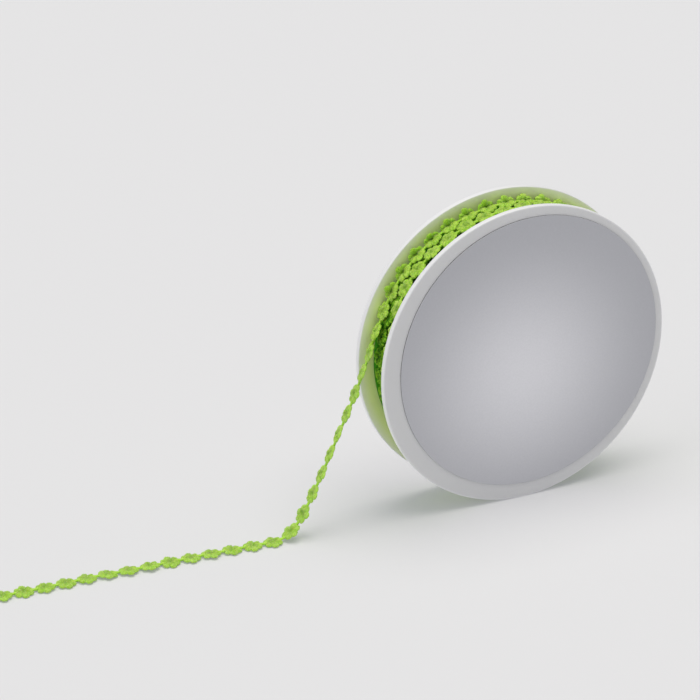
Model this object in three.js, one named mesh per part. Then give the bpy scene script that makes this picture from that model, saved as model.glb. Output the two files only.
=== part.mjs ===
// A flat spool of embroidered flower trim, standing on its rims, with the trim's free end paid out
// over the surface beside it. Millimetres, +Z up. The spool turns about an axis along Y.
// The origin is on the surface, under the middle of the spool.
import * as THREE from "three";

// Driving dimensions of the spool.
const FLANGE_RADIUS = 45;
const FLANGE_THICKNESS = 1.7;
const RIM_CHAMFER = 0.35;
const SPOOL_WIDTH = 17.4;
const CORE_RADIUS = 14;
const CORE_WALL = 1.2;
const COLLAR_WALL = 1.2;
const COLLAR_LENGTH = 4;
const SPINDLE_HOLE_RADIUS = 6;
const LABEL_RADIUS = 41.2;
const LABEL_THICKNESS = 0.25;
// The labels are stuck on by hand, so the front one sits a little off the spool's axis.
const FRONT_LABEL_SHIFT = { x: 1.5, z: 0.7 };
const REAR_LABEL_SHIFT = { x: 0, z: 0 };

// Driving dimensions of the trim and of how it is wound.
const TRIM_WIDTH = 5.3;
const TRIM_THICKNESS = 1.1;
const FULL_LAYERS_RADIUS = 40.5;
const TOP_LAYER_RADIUS = 42.1;
const ROW_WIDTH = 5;
const MIDDLE_ROW_Y = -1.1;
const REAR_ROW_Y = 4;
// The rear row ends where the trim leaves the winding. Angles run from +X towards +Z.
const LEAVING_ANGLE = THREE.MathUtils.degToRad(154.7);
const REAR_ROW_SWEEP = THREE.MathUtils.degToRad(284);

// Clearances: glued or pressed faces, pushed-together parts, and cloth beside plastic.
const CONTACT_GAP = 0.05;
const PRESS_GAP = 0.1;
const CLOTH_GAP = 0.15;

// Every round piece has this many flats, turned so that a flat faces straight down.
const FLATS = 72;
const HALF_FLAT = Math.PI / FLATS;

const INNER_WIDTH = SPOOL_WIDTH - 2 * FLANGE_THICKNESS;
const TAPE_THICKNESS = 0.1;
const TAPE_WIDTH = 9;
const TAPE_SWEEP = THREE.MathUtils.degToRad(70);
const WINDING_INNER_RADIUS = CORE_RADIUS + TAPE_THICKNESS + 3 * CONTACT_GAP;

// The free end's middle line: straight off the winding, down to the surface, then along it.
const TAIL_ROUTE = [
  [-42.7, 2.9, 51.4],
  [-44.9, 2.4, 46.8],
  [-47.3, 1.7, 41.8],
  [-50.2, 0.9, 36.2],
  [-53.3, 0.2, 30.6],
  [-56.5, -0.5, 24.8],
  [-59.7, -1.3, 19.1],
  [-62.9, -2.0, 13.7],
  [-65.9, -2.6, 8.9],
  [-68.6, -3.1, 5.2],
  [-71.4, -3.5, 2.5],
  [-74.6, -3.7, 1.0],
  [-78.4, -3.7, 0.75],
  [-84.0, -3.3, 0.75],
  [-90.0, -2.9, 0.75],
  [-98.0, -2.4, 0.75],
  [-106.0, -2.1, 0.75],
  [-114.0, -1.9, 0.75],
  [-122.0, -1.4, 0.75],
  [-130.0, -0.8, 0.75],
  [-138.0, -0.7, 0.75],
  [-146.0, -0.5, 0.75],
  [-154.0, -0.1, 0.75],
  [-161.0, 0.3, 0.75],
  [-168.0, 0.6, 0.75],
];
const TAIL_STEPS = 66;

const whitePlastic = new THREE.MeshStandardMaterial({ color: 0xe9eae8, roughness: 0.42, metalness: 0 });
const labelPaper = new THREE.MeshStandardMaterial({ color: 0xb9b9c0, roughness: 0.5, metalness: 0 });
const trimThread = new THREE.MeshStandardMaterial({ color: 0x8fce35, roughness: 0.75, metalness: 0 });
const tapeFilm = new THREE.MeshStandardMaterial({ color: 0xe6dfc4, roughness: 0.3, metalness: 0 });

const spool = new THREE.Group();
spool.position.z = FLANGE_RADIUS;
const part = new THREE.Group();
part.add(spool);

function addMesh(group, name, geometry, material) {
  const mesh = new THREE.Mesh(geometry, material);
  mesh.name = name;
  group.add(mesh);
  return mesh;
}

// A ring or disc about Y from a closed outline of [radius, y] corners. The stated radii are those of
// the flats' middles, so the corners between the flats stand slightly further out.
function turned(outline) {
  const corners = outline.map(([radius, y]) => new THREE.Vector2(radius / Math.cos(HALF_FLAT), y));
  corners.push(corners[0].clone());
  return new THREE.LatheGeometry(corners, FLATS, HALF_FLAT);
}

function ring(innerRadius, outerRadius, lowY, highY) {
  return turned([
    [innerRadius, lowY],
    [outerRadius, lowY],
    [outerRadius, highY],
    [innerRadius, highY],
  ]);
}

// Part of a ring about Y, swept back from endAngle by sweep.
function ringSector(innerRadius, outerRadius, middleY, width, endAngle, sweep) {
  const startAngle = endAngle - sweep;
  const outline = new THREE.Shape();
  outline.absarc(0, 0, outerRadius, startAngle, endAngle, false);
  outline.absarc(0, 0, innerRadius, endAngle, startAngle, true);
  outline.closePath();
  const segments = Math.ceil(sweep / (2 * HALF_FLAT));
  const settings = { depth: width, bevelEnabled: false, curveSegments: segments };
  const geometry = new THREE.ExtrudeGeometry(outline, settings);
  geometry.rotateX(Math.PI / 2);
  geometry.translate(0, middleY + width / 2, 0);
  return geometry;
}

// One flange: a disc with a spindle hole and a collar that presses into the core tube.
// side is -1 for the front flange and +1 for the rear one.
function flangeGeometry(side) {
  const outside = (side * SPOOL_WIDTH) / 2;
  const inside = (side * INNER_WIDTH) / 2;
  const collarEnd = inside - side * COLLAR_LENGTH;
  const collarRadius = CORE_RADIUS - CORE_WALL - PRESS_GAP;
  const outline = [
    [SPINDLE_HOLE_RADIUS, outside],
    [FLANGE_RADIUS - RIM_CHAMFER, outside],
    [FLANGE_RADIUS, outside - side * RIM_CHAMFER],
    [FLANGE_RADIUS, inside + side * RIM_CHAMFER],
    [FLANGE_RADIUS - RIM_CHAMFER, inside],
    [collarRadius, inside],
    [collarRadius, collarEnd],
    [collarRadius - COLLAR_WALL, collarEnd],
    [collarRadius - COLLAR_WALL, inside],
    [SPINDLE_HOLE_RADIUS, inside],
  ];
  return turned(side < 0 ? outline : outline.reverse());
}

function labelGeometry() {
  const outline = [
    [0, -LABEL_THICKNESS / 2],
    [LABEL_RADIUS, -LABEL_THICKNESS / 2],
    [LABEL_RADIUS, LABEL_THICKNESS / 2],
    [0, LABEL_THICKNESS / 2],
  ];
  const corners = outline.map(([radius, y]) => new THREE.Vector2(radius, y));
  return new THREE.LatheGeometry(corners, FLATS, HALF_FLAT);
}

function addLabel(name, side, shift) {
  const label = addMesh(spool, name, labelGeometry(), labelPaper);
  const standOff = SPOOL_WIDTH / 2 + CONTACT_GAP + LABEL_THICKNESS / 2;
  label.position.set(shift.x, side * standOff, shift.z);
}

function addSpoolBody() {
  addMesh(spool, "front_flange", flangeGeometry(-1), whitePlastic);
  addMesh(spool, "rear_flange", flangeGeometry(1), whitePlastic);
  const coreEnd = INNER_WIDTH / 2 - CONTACT_GAP;
  const core = ring(CORE_RADIUS - CORE_WALL, CORE_RADIUS, -coreEnd, coreEnd);
  addMesh(spool, "core_tube", core, whitePlastic);
  addLabel("front_label", -1, FRONT_LABEL_SHIFT);
  addLabel("rear_label", 1, REAR_LABEL_SHIFT);
}

// The strip of tape that holds the trim's first end to the core, under all the layers.
function addStartTape() {
  const innerRadius = (CORE_RADIUS + CONTACT_GAP) / Math.cos(HALF_FLAT);
  const outerRadius = innerRadius + TAPE_THICKNESS;
  const tape = ringSector(innerRadius, outerRadius, 0, TAPE_WIDTH, Math.PI, TAPE_SWEEP);
  addMesh(spool, "start_tape", tape, tapeFilm);
}

// The wound trim: the full layers as one ring, and the top layer's two rows above them.
function addWinding() {
  const layerEnd = INNER_WIDTH / 2 - CLOTH_GAP;
  const fullLayers = ring(WINDING_INNER_RADIUS, FULL_LAYERS_RADIUS, -layerEnd, layerEnd);
  addMesh(spool, "trim_full_layers", fullLayers, trimThread);
  const rowFloor = FULL_LAYERS_RADIUS + CLOTH_GAP;
  const rowLow = MIDDLE_ROW_Y - ROW_WIDTH / 2;
  const rowHigh = MIDDLE_ROW_Y + ROW_WIDTH / 2;
  const middleRow = ring(rowFloor, TOP_LAYER_RADIUS, rowLow, rowHigh);
  addMesh(spool, "trim_top_row_middle", middleRow, trimThread);
  const rearRow = ringSector(
    rowFloor, TOP_LAYER_RADIUS, REAR_ROW_Y, ROW_WIDTH, LEAVING_ANGLE, REAR_ROW_SWEEP,
  );
  addMesh(spool, "trim_top_row_rear", rearRow, trimThread);
}

// The flat ribbon section of the free end: eight sides, wide across and thin.
function trimSection() {
  const halfWidth = TRIM_WIDTH / 2;
  const halfThickness = TRIM_THICKNESS / 2;
  const edge = halfThickness * 0.4;
  const flat = halfWidth - halfThickness;
  return new THREE.Shape([
    new THREE.Vector2(halfWidth, -edge),
    new THREE.Vector2(halfWidth, edge),
    new THREE.Vector2(flat, halfThickness),
    new THREE.Vector2(-flat, halfThickness),
    new THREE.Vector2(-halfWidth, edge),
    new THREE.Vector2(-halfWidth, -edge),
    new THREE.Vector2(-flat, -halfThickness),
    new THREE.Vector2(flat, -halfThickness),
  ]);
}

function addTail() {
  const points = TAIL_ROUTE.map(([x, y, z]) => new THREE.Vector3(x, y, z));
  const route = new THREE.CatmullRomCurve3(points, false, "centripetal");
  const settings = { steps: TAIL_STEPS, extrudePath: route };
  addMesh(part, "trim_tail", new THREE.ExtrudeGeometry(trimSection(), settings), trimThread);
}

addSpoolBody();
addStartTape();
addWinding();
addTail();

export default part;
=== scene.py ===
"""A flat white spool of lime-green embroidered flower trim, standing on its rims, with the trim's free
end paid out over a pale floor. Metres; the spool's axis is along Y and the floor is z = 0."""
import math
import random

import bpy
import numpy as np
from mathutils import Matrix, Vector


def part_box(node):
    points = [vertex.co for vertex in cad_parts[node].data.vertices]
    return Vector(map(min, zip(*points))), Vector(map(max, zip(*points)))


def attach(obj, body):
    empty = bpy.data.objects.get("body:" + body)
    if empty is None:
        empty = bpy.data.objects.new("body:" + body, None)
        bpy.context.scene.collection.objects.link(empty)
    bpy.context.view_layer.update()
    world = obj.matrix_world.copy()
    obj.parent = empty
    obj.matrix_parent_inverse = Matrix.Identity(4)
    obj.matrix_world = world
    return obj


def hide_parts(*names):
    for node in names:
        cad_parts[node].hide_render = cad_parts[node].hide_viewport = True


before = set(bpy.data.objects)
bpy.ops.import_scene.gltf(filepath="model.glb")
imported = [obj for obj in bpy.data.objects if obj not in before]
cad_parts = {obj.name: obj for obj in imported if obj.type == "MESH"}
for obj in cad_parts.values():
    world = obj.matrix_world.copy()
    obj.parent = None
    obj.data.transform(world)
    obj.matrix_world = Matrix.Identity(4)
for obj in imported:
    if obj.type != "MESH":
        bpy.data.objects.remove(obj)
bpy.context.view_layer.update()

MM = 0.001

# ---------------------------------------------------------------- dimensions, from the CAD frame
flange_low, flange_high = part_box("front_flange")
full_low, full_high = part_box("trim_full_layers")
middle_low, middle_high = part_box("trim_top_row_middle")
rear_row_low, rear_row_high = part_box("trim_top_row_rear")
core_low, core_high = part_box("core_tube")

SPOOL_R = (flange_high.x - flange_low.x) / 2
AXIS = Vector(((flange_high.x + flange_low.x) / 2, 0, SPOOL_R))
SPOOL_HALF_WIDTH = -flange_low.y
FLANGE_T = 1.7 * MM
CORE_WALL = 1.2 * MM
PRESS_GAP = 0.1 * MM
COLLAR_WALL = 1.2 * MM
COLLAR_LENGTH = 4 * MM
INNER_HALF_WIDTH = SPOOL_HALF_WIDTH - FLANGE_T
CORE_R = (core_high.x - core_low.x) / 2
SPINDLE_HOLE_R = 6 * MM
RIM_ROUNDING = 0.3 * MM
TOP_LAYER_R = (middle_high.x - middle_low.x) / 2
FULL_LAYERS_R = (full_high.x - full_low.x) / 2
REAR_ROW_SHIFT = 0.25 * MM
REAR_ROW_Y = (rear_row_low.y + rear_row_high.y) / 2 + REAR_ROW_SHIFT
LEAVING_ANGLE = math.radians(154.7)
ROUND_STEPS = 240

# ---------------------------------------------------------------- dimensions of the labels
LABEL_BEVEL = 0.06 * MM
LABEL_PINHOLE_R = 0.01 * MM
LABEL_STEPS = 320
LABEL_BLOOM_R = 46 * MM
LABEL_BLOOM_DROP = 5.5 * MM
LABEL_BLOOM_SHIFT = 2 * MM

# ---------------------------------------------------------------- the thread's green bounce light, painted on the inner faces
PAINTED_BOUNCE_CLOUDING = 1.2 * MM

# ---------------------------------------------------------------- dimensions of one flower and one link
PITCH = 6.15 * MM
PETAL_TIP_R = 2.85 * MM
PETAL_NOTCH_R = 2.1 * MM
FLOWER_TOP = 0.75 * MM
FLOWER_UNDER = 0.36 * MM
DIMPLE_R = 0.62 * MM
PETALS = 6
THREADS = 48
# Below 1 the petals are rounder, and above it they are more pointed.
PETAL_POINT = 0.62
# Shares of the flower's height: the dimple, the creases between petals, and the ridge of each stitch.
DIMPLE_DEPTH = 0.94
CREASE_DEPTH = 0.42
STITCH_RIDGE = 0.2
LINK_HALF_WIDTH = 0.46 * MM
LINK_HALF_HEIGHT = 0.36 * MM
LINK_OVERLAP = 0.9 * MM
LINK_LENGTH = PITCH - 2 * PETAL_NOTCH_R + LINK_OVERLAP
# Shares of the link's thickness: the swelling at its ends, and the ridge of each of its strands.
LINK_SWELL = 0.25
LINK_RIDGE = 0.12
LINK_STRANDS = 3
# How much the strands turn from one ring of points to the next, in radians.
LINK_TWIST = 1.1
# The link's stitches have the colour that a flower's have this share of the way out from its middle.
LINK_SHADE = 0.18

# How far the stitches' colour moves towards the deep one, as painted shade: 1 is all the way, and below 0
# is away from it, as painted light.
# The petals that stand up out of the light from above, the free end's flowers lying in full light on the
# floor, and those that hang.
STANDING_PAINTED_SHADE = 0.85
LYING_PAINTED_LIGHT = -1.0
HANGING_PAINTED_SHADE = 0.3

# ---------------------------------------------------------------- how the trim is wound
FIRST_FLOWER = 1.9 * MM
LEAVING_SLOPE = 0.09
ROW_DEPTH = 0.5 * MM
ROW_R = TOP_LAYER_R - ROW_DEPTH
LINK_SUNK = 0.05 * MM
# How the top layer wanders across the spool: its unwound angle in degrees and its place in mm. The last
# turn lies beside the rear flange, and the turn before it wanders about the middle.
WANDER = [
    (-489, -1.7), (-400, -1.3), (-262, -0.3), (-219, -0.3), (-195, -4.1), (-150, -4.1),
    (-92, REAR_ROW_Y / MM), (180, REAR_ROW_Y / MM),
]
FIRST_TURN_START = math.radians(WANDER[0][0])
LAST_TURN_START = math.radians(-110)
# The rear petals of the last turn are bent up, most where the turn is highest against the flange.
STANDING_MIDDLE = math.radians(125)
LEAST_BEND_DEG = 16
EXTRA_BEND_DEG = 70
BEND_START = 0.3 * MM
BEND_R = 0.5 * MM
# How unevenly the flowers sit: across the spool, inwards and outwards, and their turns in radians.
SIDE_JITTER = 0.2 * MM
SUNK_AT_MOST = 0.12 * MM
RAISED_AT_MOST = 0.15 * MM
ROLL_SPREAD = 0.07
YAW_SPREAD = 0.09
LEAN_SPREAD = 0.05

# The lower layer's rows: the place across the spool and the depth below the layer's top in mm, the share
# of a pitch at which the first flower is, and how far the colour moves towards the deep one, as painted
# shade.
LOWER_ROWS = [(-3.6, 1.9, 0.3, 1.0), (-0.4, 1.6, 0.7, 1.0), (3.0, 0.15, 0.2, 0.0)]
LOWER_SIDE_JITTER = 0.15 * MM
LOWER_TURN_SPREAD = 0.1
LOWER_LEAN_SPREAD = 0.06

# The buried layers' ring: how deep it is below the layer's top, how much deeper in its grooves and beside
# the front flange, and how much higher beside the rear one, with where each change is in half-widths.
BURIED_DEPTH = 1.3 * MM
GROOVE_DEPTH = 0.15 * MM
FRONT_DROP = 1.6 * MM
FRONT_DROP_FROM = 0.62
FRONT_DROP_OVER = 0.2
REAR_RISE = 1.1 * MM
REAR_RISE_FROM = 0.7
REAR_RISE_OVER = 0.15
CORE_GAP = 0.2 * MM
CLOTH_GAP = 0.15 * MM
BURIED_POINTS = 28
BURIED_STEPS = 180

# ---------------------------------------------------------------- the free end
FLOOR_GAP = 0.03 * MM
LYING_HEIGHT = 1.2 * MM
LINK_FLOOR_HEIGHT = 0.55 * MM
LAST_LINK_CUT = 1.2 * MM
LYING_WOBBLE = 0.06
HANGING_WOBBLE = 0.05
TAIL_YAW_SPREAD = 0.06
CURVE_STEPS = 12
CORD_POINTS = 160

# How far the free end's upper face is turned towards the front, by height in mm and in degrees.
TWIST_BY_HEIGHT = [
    (0.8, 0), (2.5, 5), (7, -7), (12, -1), (17, -16), (23, -14), (28, -20), (33, -16), (39, -12),
    (44, -24), (50, -19),
]

# The free end's middle line, the same as in the CAD source.
TAIL_ROUTE_MM = [
    (-42.7, 2.9, 51.4), (-44.9, 2.4, 46.8), (-47.3, 1.7, 41.8), (-50.2, 0.9, 36.2),
    (-53.3, 0.2, 30.6), (-56.5, -0.5, 24.8), (-59.7, -1.3, 19.1), (-62.9, -2.0, 13.7),
    (-65.9, -2.6, 8.9), (-68.6, -3.1, 5.2), (-71.4, -3.5, 2.5), (-74.6, -3.7, 1.0),
    (-78.4, -3.7, 0.75), (-84.0, -3.3, 0.75), (-90.0, -2.9, 0.75), (-98.0, -2.4, 0.75),
    (-106.0, -2.1, 0.75), (-114.0, -1.9, 0.75), (-122.0, -1.4, 0.75), (-130.0, -0.8, 0.75),
    (-138.0, -0.7, 0.75), (-146.0, -0.5, 0.75), (-154.0, -0.1, 0.75), (-161.0, 0.3, 0.75),
    (-168.0, 0.6, 0.75),
]

# ---------------------------------------------------------------- camera
LOOK_AT = Vector((-51.1, 0, 53.2)) * MM
VIEW_DISTANCE = 1028.5 * MM
VIEW_TURN = math.radians(26.311)
VIEW_DROP = math.radians(24.449)
LENS_MM = 189.72
SENSOR_MM = 36

# ---------------------------------------------------------------- light
FLOOR_GLOW = 0.19
AMBIENT = 0.37
OVERHEAD = 1.95
FROM_LEFT = 0.72


def add_camera():
    """A long lens, from the front and a little to the left of the spool, looking down at it."""
    forward = Vector((
        math.sin(VIEW_TURN) * math.cos(VIEW_DROP),
        math.cos(VIEW_TURN) * math.cos(VIEW_DROP),
        -math.sin(VIEW_DROP),
    ))
    data = bpy.data.cameras.new("camera")
    data.lens = LENS_MM
    data.sensor_width = SENSOR_MM
    data.clip_start = 0.01
    data.clip_end = 20
    camera = bpy.data.objects.new("camera", data)
    camera.location = LOOK_AT - forward * VIEW_DISTANCE
    camera.rotation_mode = "QUATERNION"
    camera.rotation_quaternion = forward.to_track_quat("-Z", "Y")
    bpy.context.scene.collection.objects.link(camera)
    bpy.context.scene.camera = camera


# ---------------------------------------------------------------- node helpers
class Nodes:
    """A short way to write a material's node tree."""

    def __init__(self, name):
        self.material = bpy.data.materials.new(name)
        self.material.use_nodes = True
        self.tree = self.material.node_tree
        self.shader = self.tree.nodes["Principled BSDF"]

    def add(self, kind, **settings):
        node = self.tree.nodes.new(kind)
        for key, value in settings.items():
            setattr(node, key, value)
        return node

    def feed(self, node, name, value):
        """Sets an input to a number or colour, or links it to another node's output."""
        socket = node.inputs[name]
        if isinstance(value, bpy.types.NodeSocket):
            self.tree.links.new(value, socket)
        else:
            socket.default_value = value
        return node

    def math(self, operation, a, b=0.0, c=0.0):
        node = self.add("ShaderNodeMath", operation=operation)
        for index, value in enumerate((a, b, c)):
            self.feed(node, index, value)
        return node.outputs[0]

    def mix(self, factor, a, b):
        node = self.add("ShaderNodeMix", data_type="RGBA")
        self.feed(node, 0, factor)
        self.feed(node, 6, a)
        self.feed(node, 7, b)
        return node.outputs[2]

    def noise(self, vector, scale, detail=3.0):
        node = self.add("ShaderNodeTexNoise")
        self.feed(node, "Vector", vector)
        self.feed(node, "Scale", scale)
        self.feed(node, "Detail", detail)
        return node.outputs[0]

    def ramp(self, value, low, high, out_low=0.0, out_high=1.0):
        node = self.add("ShaderNodeMapRange", interpolation_type="SMOOTHSTEP")
        self.feed(node, 0, value)
        for index, number in enumerate((low, high, out_low, out_high)):
            self.feed(node, index + 1, number)
        return node.outputs[0]

    def from_axis(self, place):
        """The distance from the spool's axis."""
        split = self.add("ShaderNodeSeparateXYZ")
        self.feed(split, 0, place)
        x = self.math("SUBTRACT", split.outputs[0], AXIS.x)
        z = self.math("SUBTRACT", split.outputs[2], AXIS.z)
        squares = self.math("ADD", self.math("MULTIPLY", x, x), self.math("MULTIPLY", z, z))
        return self.math("SQRT", squares)

    def bump(self, height, distance, strength=1.0):
        node = self.add("ShaderNodeBump")
        self.feed(node, "Height", height)
        self.feed(node, "Distance", distance)
        self.feed(node, "Strength", strength)
        self.tree.links.new(node.outputs[0], self.shader.inputs["Normal"])

    def set(self, **values):
        names = {
            "color": "Base Color", "roughness": "Roughness", "specular": "Specular IOR Level",
            "sheen": "Sheen Weight", "sheen_roughness": "Sheen Roughness",
            "subsurface": "Subsurface Weight", "subsurface_scale": "Subsurface Scale",
            "subsurface_radius": "Subsurface Radius",
            "glow_color": "Emission Color", "glow": "Emission Strength",
        }
        for key, value in values.items():
            self.feed(self.shader, names[key], value)


def grey(value, tint=(1.0, 1.0, 1.0)):
    return (value * tint[0], value * tint[1], value * tint[2], 1.0)


# ---------------------------------------------------------------- materials
def flange_plastic():
    """White moulded polystyrene: satin and very slightly mottled, with a painted highlight that makes the
    thin rim paler.
    """
    m = Nodes("flange_plastic")
    place = m.add("ShaderNodeTexCoord").outputs["Object"]
    cloud = m.noise(place, 60.0, 2.0)
    face = m.mix(cloud, grey(0.705, (1.0, 1.0, 0.99)), grey(0.745, (1.0, 1.0, 0.995)))
    painted_rim_highlight = m.ramp(m.from_axis(place), SPOOL_R - 2 * RIM_ROUNDING, SPOOL_R - 0.5 * RIM_ROUNDING)
    # Painted highlight: the rim is coloured paler than the faces.
    m.set(
        color=m.mix(painted_rim_highlight, face, grey(0.81)),
        roughness=m.ramp(m.noise(place, 900.0), 0.3, 0.7, 0.34, 0.44),
        subsurface=0.2,
        subsurface_radius=(1.0, 1.0, 0.9),
        subsurface_scale=2 * MM,
    )
    m.bump(m.noise(place, 2600.0, 2.0), 0.00002, 0.5)
    return m.material


def flange_face_painted_bounce():
    """The same plastic where it faces the winding, with the green light that the thread bounces onto it
    painted on, most beside it.
    """
    m = Nodes("flange_face_painted_bounce")
    place = m.add("ShaderNodeTexCoord").outputs["Object"]
    clouded = m.math("MULTIPLY_ADD", m.noise(place, 160.0, 2.0), PAINTED_BOUNCE_CLOUDING, m.from_axis(place))
    outward = m.ramp(clouded, TOP_LAYER_R, SPOOL_R + PAINTED_BOUNCE_CLOUDING / 2)
    # Painted green bounce light: yellow-green beside the winding, fading to a paler cream further out.
    m.set(
        color=m.mix(outward, (0.87, 0.97, 0.42, 1), (0.87, 0.90, 0.70, 1)),
        roughness=m.ramp(m.noise(place, 900.0), 0.3, 0.7, 0.34, 0.44),
        subsurface=0.2,
        subsurface_radius=(1.0, 1.0, 0.9),
        subsurface_scale=2 * MM,
    )
    m.bump(m.noise(place, 2600.0, 2.0), 0.00002, 0.5)
    return m.material


def label_paper(centre):
    """Satin-coated grey paper with a soft pale bloom about a centre and a fine paper tooth."""
    m = Nodes("label_paper")
    place = m.add("ShaderNodeTexCoord").outputs["Object"]
    away = m.add("ShaderNodeVectorMath", operation="DISTANCE")
    m.feed(away, 0, place)
    m.feed(away, 1, centre)
    bloom = m.ramp(away.outputs["Value"], 0.0, LABEL_BLOOM_R, 1.0, 0.0)
    tooth = m.noise(place, 1800.0, 4.0)
    plain = m.mix(bloom, grey(0.54, (0.98, 0.985, 1.03)), grey(0.885, (0.99, 0.985, 1.01)))
    m.set(
        color=m.mix(m.ramp(tooth, 0.3, 0.7, 0.0, 0.05), plain, grey(0.30)),
        roughness=m.ramp(tooth, 0.3, 0.7, 0.42, 0.52),
    )
    m.bump(tooth, 0.00001, 0.4)
    return m.material


def label_edge_painted_shadow():
    """The paper's cut edge, darker than its face: partly the edge's own colour, partly a painted shadow
    line along the sticker's rim.
    """
    m = Nodes("label_edge_painted_shadow")
    place = m.add("ShaderNodeTexCoord").outputs["Object"]
    m.set(color=m.mix(m.noise(place, 1500.0), grey(0.10), grey(0.2)), roughness=0.8)
    return m.material


def thread(name, light, deep, shine=1.0):
    """Lime polyester embroidery thread: close satin stitches that run out from each flower's middle. The
    shine is 1 where the thread is loose, and less where it is pressed flat and dull."""
    m = Nodes(name)
    coords = m.add("ShaderNodeTexCoord")
    split = m.add("ShaderNodeSeparateXYZ")
    m.feed(split, 0, coords.outputs["UV"])
    turns = m.math("MULTIPLY", split.outputs[0], 2 * math.pi * THREADS * 2)
    strand = m.math("MULTIPLY_ADD", m.math("SINE", turns), 0.5, 0.5)
    fleck = m.noise(coords.outputs["Object"], 1400.0, 3.0)
    patch = m.noise(coords.outputs["Object"], 220.0, 2.0)
    shade = m.math("MULTIPLY", m.ramp(fleck, 0.36, 0.6, 0.15, 1.0), m.ramp(strand, 0.0, 0.6, 0.6, 1.0))
    shade = m.math("MULTIPLY", shade, m.ramp(patch, 0.3, 0.7, 0.85, 1.0))
    # Painted shade: the colour darkens towards each flower's middle, in the dimple where its stitches
    # meet.
    from_middle = m.math("ABSOLUTE", split.outputs[1])
    shade = m.math("MULTIPLY", shade, m.ramp(from_middle, 0.06, 0.3, 0.1, 1.0))
    m.set(
        color=m.mix(shade, deep, light),
        roughness=0.55,
        specular=0.4 * shine,
        sheen=0.2 * shine,
        sheen_roughness=0.35,
        subsurface=0.35,
        subsurface_radius=(0.7, 1.0, 0.15),
        subsurface_scale=1.0 * MM,
    )
    m.bump(m.math("MULTIPLY_ADD", fleck, 2.0, strand), 0.0001, 0.9)
    return m.material


def core_plastic():
    """The core tube's plastic, plain and slightly mottled."""
    m = Nodes("core_plastic")
    place = m.add("ShaderNodeTexCoord").outputs["Object"]
    m.set(color=m.mix(m.noise(place, 80.0), grey(0.76), grey(0.82)), roughness=0.45)
    return m.material


def tape_film():
    """Yellowish adhesive tape."""
    m = Nodes("tape_film")
    place = m.add("ShaderNodeTexCoord").outputs["Object"]
    m.set(color=m.mix(m.noise(place, 200.0), (0.75, 0.69, 0.5, 1), (0.82, 0.77, 0.6, 1)), roughness=0.25)
    return m.material


def floor_paint():
    """A pale table lit a little from below, as a light table is, which keeps the shadows faint."""
    m = Nodes("floor_paint")
    place = m.add("ShaderNodeTexCoord").outputs["Object"]
    m.set(
        color=m.mix(m.noise(place, 3.0, 1.0), grey(0.547), grey(0.553)),
        roughness=0.9,
        specular=0.1,
        glow_color=(0.985, 0.99, 1.03, 1.0),
        glow=FLOOR_GLOW,
    )
    return m.material


# ---------------------------------------------------------------- mesh helpers
def new_object(name, points, faces, material, uvs=None):
    """A smooth-shaded mesh object from arrays of points and of three- or four-cornered faces."""
    mesh = bpy.data.meshes.new(name)
    mesh.from_pydata(points, [], faces)
    mesh.materials.append(material)
    if uvs is not None:
        layer = mesh.uv_layers.new(name="stitches")
        corner = np.zeros(len(mesh.loops), np.int32)
        mesh.loops.foreach_get("vertex_index", corner)
        layer.data.foreach_set("uv", np.asarray(uvs, np.float32)[corner].ravel())
    mesh.polygons.foreach_set("use_smooth", [True] * len(mesh.polygons))
    mesh.update()
    piece = bpy.data.objects.new(name, mesh)
    bpy.context.scene.collection.objects.link(piece)
    return piece


def arc(centre_r, centre_y, radius, start_deg, end_deg, steps=6):
    """Points of a small fillet in an outline of (radius, y)."""
    angles = np.radians(np.linspace(start_deg, end_deg, steps))
    return [(centre_r + radius * math.cos(a), centre_y + radius * math.sin(a)) for a in angles]


def lathe(name, outline, material, centre, segments=ROUND_STEPS):
    """A closed outline of (radius, y) points turned about a line along Y through centre."""
    turns = np.linspace(0, 2 * math.pi, segments, endpoint=False)
    r = np.array([p[0] for p in outline])
    y = np.array([p[1] for p in outline])
    x = centre.x + np.outer(np.cos(turns), r)
    z = centre.z + np.outer(np.sin(turns), r)
    points = np.stack([x, np.broadcast_to(y, x.shape), z], axis=-1).reshape(-1, 3)
    count = len(outline)
    faces = []
    for i in range(segments):
        for j in range(count):
            a = i * count + j
            b = i * count + (j + 1) % count
            c = ((i + 1) % segments) * count
            faces.append((a, c + j, c + (j + 1) % count, b))
    return new_object(name, points.tolist(), faces, material)


def sharpen(piece, degrees):
    """Keeps corners crisp and round stretches smooth."""
    piece.data.set_sharp_from_angle(angle=math.radians(degrees))


# ---------------------------------------------------------------- spool body
def flange_outline(side):
    """The flange's cut, from the spindle hole out round the rim and back along the collar."""
    out = side * SPOOL_HALF_WIDTH
    inside = side * INNER_HALF_WIDTH
    f = RIM_ROUNDING
    turn = 90 * side
    collar_r = CORE_R - CORE_WALL - PRESS_GAP
    collar_end = inside - side * COLLAR_LENGTH
    outline = [(SPINDLE_HOLE_R, out)]
    outline += arc(SPOOL_R - f, out - side * f, f, turn, 0)
    outline += arc(SPOOL_R - f, inside + side * f, f, 0, -turn)
    outline += [
        (collar_r, inside), (collar_r, collar_end), (collar_r - COLLAR_WALL, collar_end),
        (collar_r - COLLAR_WALL, inside), (SPINDLE_HOLE_R, inside),
    ]
    return outline if side > 0 else outline[::-1]


def add_flanges(material, painted_bounce_material):
    """Both moulded flanges, with the painted green bounce light on the flat faces beside the winding."""
    for side, node in ((-1, "front_flange"), (1, "rear_flange")):
        piece = lathe(node + "_moulding", flange_outline(side), material, AXIS)
        piece.data.materials.append(painted_bounce_material)
        for face in piece.data.polygons:
            flat = abs(face.normal.y) > 0.9
            if flat and abs(abs(face.center.y) - INNER_HALF_WIDTH) < 0.1 * MM:
                face.material_index = 1
        sharpen(piece, 40)
        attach(piece, "spool")
        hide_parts(node)


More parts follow.
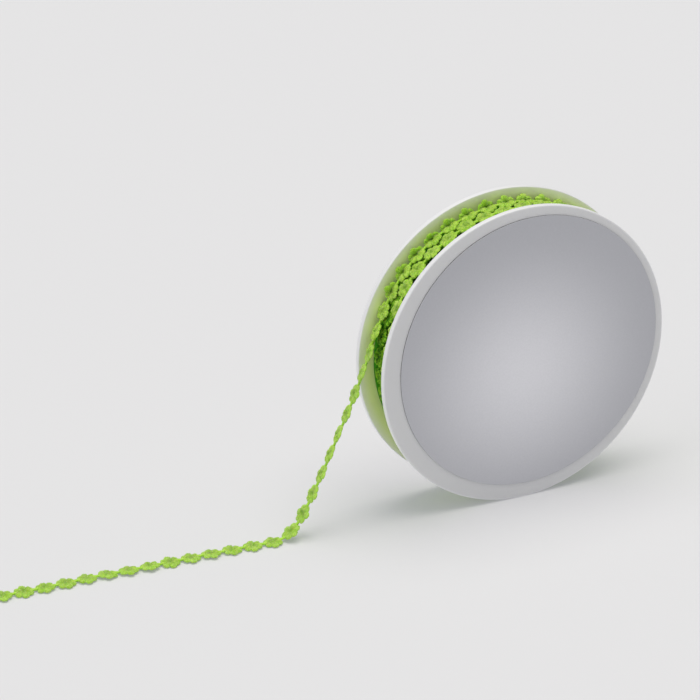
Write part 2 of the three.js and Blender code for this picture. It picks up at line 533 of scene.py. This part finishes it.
def add_label(node):
    """The round sticker in a CAD label's place. Its outline stops a pinhole short of the axis."""
    low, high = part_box(node)
    centre = (low + high) / 2
    radius = (high.x - low.x) / 2
    side = 1 if centre.y > 0 else -1
    outer = centre.y + side * (high.y - low.y) / 2
    inner = side * SPOOL_HALF_WIDTH
    outline = [
        (LABEL_PINHOLE_R, outer), (radius / 2, outer), (radius - LABEL_BEVEL, outer),
        (radius, outer - side * LABEL_BEVEL), (radius, inner), (LABEL_PINHOLE_R, inner),
    ]
    if side < 0:
        outline = outline[::-1]
    bloom_centre = Vector((centre.x - LABEL_BLOOM_SHIFT, outer, centre.z - LABEL_BLOOM_DROP))
    piece = lathe(node + "_sticker", outline, label_paper(bloom_centre), centre, LABEL_STEPS)
    piece.data.materials.append(label_edge_painted_shadow())
    for face in piece.data.polygons:
        away = Vector((face.center.x - centre.x, face.center.z - centre.z)).length
        if abs(face.normal.y) < 0.5 and away > radius * 0.9:
            face.material_index = 1
    sharpen(piece, 30)
    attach(piece, "spool")
    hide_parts(node)


# ---------------------------------------------------------------- one embroidered flower
def petal_wave(angle):
    """1 at the middle of each petal and 0 in the notches; the links leave from two of the notches."""
    return np.abs(np.cos(PETALS / 2 * (angle - math.pi / PETALS)))


def flower(seed, around=144, rings=10):
    """Points, faces and stitch coordinates of a flower lying flat: x along the chain, z up."""
    draw = random.Random(seed)
    length = np.array([draw.uniform(0.95, 1.04) for _ in range(PETALS)])
    puff = np.array([draw.uniform(0.86, 1.1) for _ in range(PETALS)])
    angle = np.linspace(0, 2 * math.pi, around, endpoint=False)
    which = (np.floor(angle / (2 * math.pi / PETALS)).astype(int)) % PETALS
    wave = petal_wave(angle)
    reach = PETAL_NOTCH_R + (PETAL_TIP_R * length[which] - PETAL_NOTCH_R) * wave ** PETAL_POINT
    stitch = np.abs(np.cos(angle * THREADS / 2))
    thread_height = np.array([draw.uniform(0.86, 1.12) for _ in range(THREADS)])
    uneven = thread_height[np.floor(angle / (2 * math.pi / THREADS) + 0.5).astype(int) % THREADS]
    reach = reach * (1 + 0.03 * (stitch - 0.5) + 0.25 * (uneven - 1))
    share = np.sin(np.linspace(0, 1, rings + 1)[1:] * math.pi / 2)
    points, uvs = [], []
    for side, height in ((1, FLOWER_TOP), (-1, FLOWER_UNDER)):
        points.append([[0, 0, side * height * (1 - DIMPLE_DEPTH)]])
        uvs.append([[0.0, 0.0]])
        for s in share:
            # The dome, crease, dimple and ridge are each a factor of the height.
            r = reach * s
            dome = max(0.0, 1 - s ** 3.6) ** 0.5
            crease = 1 - CREASE_DEPTH * min(1.0, s * 1.5) * (1 - wave ** 0.55)
            dimple = 1 - DIMPLE_DEPTH * np.exp(-((r / DIMPLE_R) ** 2))
            ridge = (1 + STITCH_RIDGE * (stitch - 0.5) * min(1.0, s * 2)) * uneven
            z = side * height * dome * crease * dimple * ridge * (0.75 + 0.25 * puff[which])
            points.append(np.stack([r * np.cos(angle), r * np.sin(angle), z], axis=-1))
            uvs.append(np.stack([angle / (2 * math.pi), np.full(around, s * side)], axis=-1))
    faces = []
    half = 1 + rings * around
    for side in (0, 1):
        base = side * half
        for j in range(around):
            k = (j + 1) % around
            tri = (base, base + 1 + j, base + 1 + k)
            faces.append(tri if side == 0 else tri[::-1])
            for i in range(rings - 1):
                a = base + 1 + i * around
                b = a + around
                quad = (a + j, b + j, b + k, a + k)
                faces.append(quad if side == 0 else quad[::-1])
    points = np.concatenate(points)
    # The last ring of the under side is the last ring of the top side.
    top_edge = 1 + (rings - 1) * around
    under_edge = half + top_edge
    joined = {under_edge + j: top_edge + j for j in range(around)}
    faces = [tuple(joined.get(v, v) for v in face) for face in faces]
    return points[:under_edge], faces, np.concatenate(uvs)[:under_edge]


def link(length, around=10, steps=8):
    """The short twisted thread bar between two flowers, centred on the origin and along x."""
    x = np.linspace(-length / 2, length / 2, steps)
    turn = np.linspace(0, 2 * math.pi, around, endpoint=False)
    points = []
    for i, place in enumerate(x):
        swell = 1 + LINK_SWELL * abs(2 * i / (steps - 1) - 1)
        ridge = 1 + LINK_RIDGE * np.cos(LINK_STRANDS * turn + i * LINK_TWIST)
        y = LINK_HALF_WIDTH * swell * ridge * np.cos(turn)
        z = LINK_HALF_HEIGHT * swell * ridge * np.sin(turn)
        points.append(np.stack([np.full(around, place), y, z], axis=-1))
    points = np.concatenate(points)
    faces = []
    for i in range(steps - 1):
        for j in range(around):
            k = (j + 1) % around
            a = i * around
            b = a + around
            faces.append((a + j, a + k, b + k, b + j))
    faces.append(tuple(range(around))[::-1])
    faces.append(tuple(range((steps - 1) * around, steps * around)))
    uvs = np.stack([points[:, 0] / length * 0.05, np.full(len(points), LINK_SHADE)], axis=-1)
    return points, faces, uvs


class Chain:
    """Collects flowers and links, each put in its place, to make one mesh."""

    def __init__(self):
        self.points, self.faces, self.uvs, self.count = [], [], [], 0

    def add(self, form, place, along, across, up, floor=None):
        """Puts a form in its place; where floor is given, its lowest point then lies at that height."""
        points, faces, uvs = form
        axes = np.array([along, across, up], float)
        points = points @ axes + np.array(place, float)
        if floor is not None:
            points[:, 2] += floor - points[:, 2].min()
        self.points.append(points)
        self.faces += [tuple(v + self.count for v in face) for face in faces]
        self.uvs.append(uvs)
        self.count += len(points)

    def object(self, name, material):
        points = np.concatenate(self.points)
        return new_object(name, points.tolist(), self.faces, material, np.concatenate(self.uvs))


def with_painted_light_and_shade(form, share):
    """The flower with painted shade: its stitches' colour moved towards the deep colour of its middle by
    the share; a share below 0 makes it paler instead, as painted light.
    """
    points, faces, uvs = form
    return points, faces, uvs * np.stack([np.ones(len(uvs)), np.ones(len(uvs)) - share], axis=-1)


def curled(form, start, bend, radius):
    """The flower with its rear half, from start across the chain, bent up by up to bend radians, and the
    bent half's colour deepened as painted shade.
    """
    points, faces, uvs = form
    points = points.copy()
    rearward = -points[:, 1]
    past = np.maximum(rearward - start, 0)
    turn = np.minimum(past / radius, bend)
    straight = past - turn * radius
    height = points[:, 2].copy()
    reach = np.minimum(rearward, start) + radius * np.sin(turn) + straight * np.cos(turn)
    points[:, 1] = height * np.sin(turn) - reach
    points[:, 2] = radius * (1 - np.cos(turn)) + straight * np.sin(turn) + height * np.cos(turn)
    return with_painted_light_and_shade((points, faces, uvs), STANDING_PAINTED_SHADE * np.minimum(turn, 1.0))


def turned(along, across, up, yaw, roll, lean):
    """The three directions after small turns about up, along and across."""
    def spin(a, b, angle):
        c, s = math.cos(angle), math.sin(angle)
        return a * c + b * s, b * c - a * s

    along, across = spin(along, across, yaw)
    across, up = spin(across, up, roll)
    up, along = spin(up, along, lean)
    return along, across, up


VARIANTS = [flower(seed) for seed in range(6)]
SIMPLE_VARIANTS = [flower(seed, around=72, rings=5) for seed in range(3)]


# ---------------------------------------------------------------- the wound trim
def ring_place(angle, radius, y):
    """A place on the winding and the directions there: along the trim, across it and outwards."""
    out = np.array([math.cos(angle), 0, math.sin(angle)])
    along = np.array([-math.sin(angle), 0, math.cos(angle)])
    across = np.cross(out, along)
    place = np.array(AXIS) + out * radius
    place[1] = y
    return place, along, across, out


def smooth_step(t):
    """An even rise from 0 to 1 as t goes from 0 to 1."""
    t = min(1.0, max(0.0, t))
    return t * t * (3 - 2 * t)


def row_y(angle):
    """Where the top layer runs across the spool, along its unwound angle."""
    degrees = math.degrees(angle)
    for (before, y_before), (after, y_after) in zip(WANDER, WANDER[1:]):
        if degrees <= after:
            break
    return (y_before + (y_after - y_before) * smooth_step((degrees - before) / (after - before))) * MM


def row_slant(angle):
    """How far the top layer's line is turned from a plain ring, in radians."""
    step = 0.07
    return math.atan2(row_y(angle + step) - row_y(angle - step), 2 * step * ROW_R)


def standing_share(angle):
    """1 where the rear row's petals stand up against the rear flange, and 0 where they lie."""
    return (math.cos((angle - STANDING_MIDDLE) / 2) ** 2) ** 6


def top_layer_place(distance):
    """A place on the top layer, by the distance past the leaving point: there the trim runs straight."""
    angle = LEAVING_ANGLE + min(distance, 0) / ROW_R
    y = row_y(angle) - LEAVING_SLOPE * max(distance, 0)
    place, along, across, out = ring_place(angle, ROW_R, y)
    return angle, place + along * max(distance, 0), along, across, out


def add_top_rows(material):
    """The top layer, wound as one chain: a turn in the middle, then a turn beside the rear flange."""
    draw = random.Random(11)
    chain = Chain()
    leaving = ring_place(LEAVING_ANGLE, ROW_R, REAR_ROW_Y)[0]
    to_free_end = float(np.linalg.norm(np.array(TAIL_ROUTE_MM[0]) * MM - leaving))
    distance = to_free_end + FIRST_FLOWER - PITCH
    last = -(LEAVING_ANGLE - FIRST_TURN_START) * ROW_R
    while distance > last:
        angle, place, along, across, out = top_layer_place(distance)
        in_last_turn = angle > LAST_TURN_START
        standing = standing_share(angle) if in_last_turn else 0
        place[1] += draw.uniform(-SIDE_JITTER, SIDE_JITTER)
        place += out * draw.uniform(-SUNK_AT_MOST, RAISED_AT_MOST)
        free = max(distance, 0) / to_free_end
        roll = draw.gauss(0, ROLL_SPREAD) - free * twist_at(TAIL_ROUTE_MM[0][2] * MM)
        yaw = draw.gauss(0, YAW_SPREAD) - row_slant(angle)
        lean = draw.gauss(0, LEAN_SPREAD)
        form = draw.choice(VARIANTS)
        if in_last_turn and distance < 0:
            bend = math.radians(LEAST_BEND_DEG + EXTRA_BEND_DEG * standing) * draw.uniform(0.9, 1.1)
            form = curled(form, BEND_START, bend, BEND_R)
        chain.add(form, place, *turned(along, across, out, yaw, roll, lean))
        _, place, along, across, out = top_layer_place(distance + PITCH / 2)
        chain.add(link(LINK_LENGTH), place - out * LINK_SUNK, along, across, out)
        distance -= PITCH
    piece = chain.object("trim_top_rows", material)
    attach(piece, "spool")
    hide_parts("trim_top_row_middle", "trim_top_row_rear")


def add_lower_rows(material):
    """Rows of the layer below, which shows beside the top rows and where they are drawn off."""
    draw = random.Random(23)
    chain = Chain()
    for y, depth, phase, shade in LOWER_ROWS:
        radius = FULL_LAYERS_R - depth * MM
        step = PITCH / radius
        for index in range(int(2 * math.pi / step)):
            here = (index + phase) * step
            aside = draw.uniform(-LOWER_SIDE_JITTER, LOWER_SIDE_JITTER)
            place, along, across, out = ring_place(here, radius, y * MM + aside)
            yaw = draw.gauss(0, LOWER_TURN_SPREAD)
            roll = draw.gauss(0, LOWER_TURN_SPREAD)
            lean = draw.gauss(0, LOWER_LEAN_SPREAD)
            along, across, out = turned(along, across, out, yaw, roll, lean)
            chain.add(with_painted_light_and_shade(draw.choice(SIMPLE_VARIANTS), shade), place, along, across, out)
            place, along, across, out = ring_place(here + step / 2, radius, y * MM)
            chain.add(with_painted_light_and_shade(link(LINK_LENGTH, 8, 4), shade), place, along, across, out)
    piece = chain.object("trim_lower_rows", material)
    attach(piece, "spool")


def add_buried_layers(material):
    """The buried layers as one ring under the rows, lowest beside the front flange."""
    inner = CORE_R + CORE_GAP
    half = INNER_HALF_WIDTH - CLOTH_GAP
    outline = [(inner, half)]
    for i in range(BURIED_POINTS, -1, -1):
        share = 2 * i / BURIED_POINTS - 1
        beside_front = smooth_step((-share - FRONT_DROP_FROM) / FRONT_DROP_OVER)
        beside_rear = smooth_step((share - REAR_RISE_FROM) / REAR_RISE_OVER)
        depth = BURIED_DEPTH + GROOVE_DEPTH * (i % 2) + FRONT_DROP * beside_front - REAR_RISE * beside_rear
        outline.append((FULL_LAYERS_R - depth, half * share))
    outline.append((inner, -half))
    piece = lathe("trim_buried_layers", outline, material, AXIS, BURIED_STEPS)
    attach(piece, "spool")
    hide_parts("trim_full_layers")


# ---------------------------------------------------------------- the free end
def tail_route():
    """The free end's line as a smooth curve through the route's points, closely spaced."""
    points = np.array(TAIL_ROUTE_MM) * MM
    fine = []
    count = len(points)
    for i in range(count - 1):
        a = points[max(i - 1, 0)]
        b, c = points[i], points[i + 1]
        d = points[min(i + 2, count - 1)]
        for t in np.linspace(0, 1, CURVE_STEPS, endpoint=False):
            fine.append(0.5 * (
                2 * b + (c - a) * t + (2 * a - 5 * b + 4 * c - d) * t ** 2
                + (3 * b - a - 3 * c + d) * t ** 3
            ))
    fine.append(points[-1])
    return np.array(fine)


def twist_at(height):
    """How far the free end's upper face is turned towards the front at a height, in radians."""
    heights = [h * MM for h, _ in TWIST_BY_HEIGHT]
    return math.radians(np.interp(height, heights, [t for _, t in TWIST_BY_HEIGHT]))


def tail_place(line, along_line, distance):
    """A place on the free end's line and the directions along it, across it and up from its face."""
    step = 0.5 * MM

    def at(d):
        return np.array([np.interp(d, along_line, line[:, k]) for k in range(3)])

    place = at(distance)
    along = at(distance + step) - at(distance - step)
    along /= np.linalg.norm(along)
    across = np.array([0.0, -1.0, 0.0])
    across -= along * (across @ along)
    across /= np.linalg.norm(across)
    up = np.cross(along, across)
    angle = twist_at(place[2])
    up, across = (
        up * math.cos(angle) + across * math.sin(angle),
        across * math.cos(angle) - up * math.sin(angle),
    )
    return place, along, across, up


def add_tail(material):
    """The free end: one chain of flowers from beside the winding, down and along the floor."""
    line = tail_route()
    along_line = np.concatenate([[0], np.cumsum(np.linalg.norm(np.diff(line, axis=0), axis=1))])
    total = along_line[-1]
    draw = random.Random(5)
    chain = Chain()
    count = int((total - FIRST_FLOWER - PETAL_TIP_R) / PITCH) + 1
    for index in range(count):
        at = FIRST_FLOWER + index * PITCH
        place, along, across, up = tail_place(line, along_line, at)
        lying = place[2] < LYING_HEIGHT
        wobble = LYING_WOBBLE if lying else HANGING_WOBBLE
        yaw = draw.gauss(0, TAIL_YAW_SPREAD)
        roll = draw.gauss(0, wobble)
        lean = draw.gauss(0, wobble)
        along, across, up = turned(along, across, up, yaw, roll, lean)
        # Painted light on the flowers that lie on the floor, and painted shade on those that hang.
        form = with_painted_light_and_shade(draw.choice(VARIANTS), LYING_PAINTED_LIGHT if lying else HANGING_PAINTED_SHADE)
        chain.add(form, place, along, across, up, FLOOR_GAP if lying else None)
        shorter = LAST_LINK_CUT if index == count - 1 else 0
        place, along, across, up = tail_place(line, along_line, at + (PITCH - shorter) / 2)
        place[2] = max(LINK_FLOOR_HEIGHT, place[2])
        chain.add(link(LINK_LENGTH - shorter), place, along, across, up)
    end = FIRST_FLOWER + (count - 0.5) * PITCH
    line = np.array([tail_place(line, along_line, d)[0] for d in np.linspace(0, end, CORD_POINTS)])
    piece = chain.object("trim_free_end", material)
    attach(piece, "free_end")
    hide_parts("trim_tail")


# ---------------------------------------------------------------- floor and lights
def add_floor():
    """A plain table top, far larger than the view."""
    size = 4.0
    corners = [(-size, -size, 0), (size, -size, 0), (size, size, 0), (-size, size, 0)]
    floor = new_object("floor", corners, [(0, 1, 2, 3)], floor_paint())


def add_sun(name, direction, color, strength, angle_deg):
    """A far light that shines along a direction; the wider its angle, the softer its shadows."""
    data = bpy.data.lights.new(name, "SUN")
    data.color = color
    data.energy = strength
    data.angle = math.radians(angle_deg)
    lamp = bpy.data.objects.new(name, data)
    lamp.rotation_mode = "QUATERNION"
    lamp.rotation_quaternion = Vector(direction).normalized().to_track_quat("-Z", "Y")
    bpy.context.scene.collection.objects.link(lamp)


def add_lights():
    """A cool, even surround, a broad, slightly warm softbox overhead and a weaker one at the left."""
    world = bpy.data.worlds.new("studio")
    world.use_nodes = True
    background = world.node_tree.nodes["Background"]
    background.inputs["Color"].default_value = (0.96, 0.98, 1.10, 1)
    background.inputs["Strength"].default_value = AMBIENT
    bpy.context.scene.world = world
    add_sun("softbox_above", (-0.12, 0.01, -1.0), (1.03, 1.0, 0.92), OVERHEAD, 54)
    add_sun("softbox_left", (1.0, 0.0, -0.45), (1.0, 1.0, 0.98), FROM_LEFT, 50)


# ---------------------------------------------------------------- build
bpy.context.scene.view_settings.view_transform = "Standard"
add_camera()
lime = thread("trim_thread", light=(0.66, 1.0, 0.13, 1), deep=(0.31, 0.62, 0.010, 1))
# A paler copy of the thread with painted light, for the free end lying out in the light.
lime_painted_light = thread("trim_thread_painted_light", light=(0.61, 0.92, 0.16, 1), deep=(0.40, 0.74, 0.045, 1))
# A darker copy of the thread with painted shade, for the rows and the ring deep in the winding.
lime_painted_shade = thread(
    "trim_thread_painted_shade", light=(0.48, 0.92, 0.05, 1), deep=(0.02, 0.21, 0.002, 1), shine=0.2,
)
add_tail(lime_painted_light)
add_flanges(flange_plastic(), flange_face_painted_bounce())
add_label("front_label")
add_label("rear_label")
add_top_rows(lime)
add_lower_rows(lime_painted_shade)
add_buried_layers(lime_painted_shade)
for node, material in (("core_tube", core_plastic()), ("start_tape", tape_film())):
    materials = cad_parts[node].data.materials
    materials.clear()
    materials.append(material)
add_floor()
add_lights()
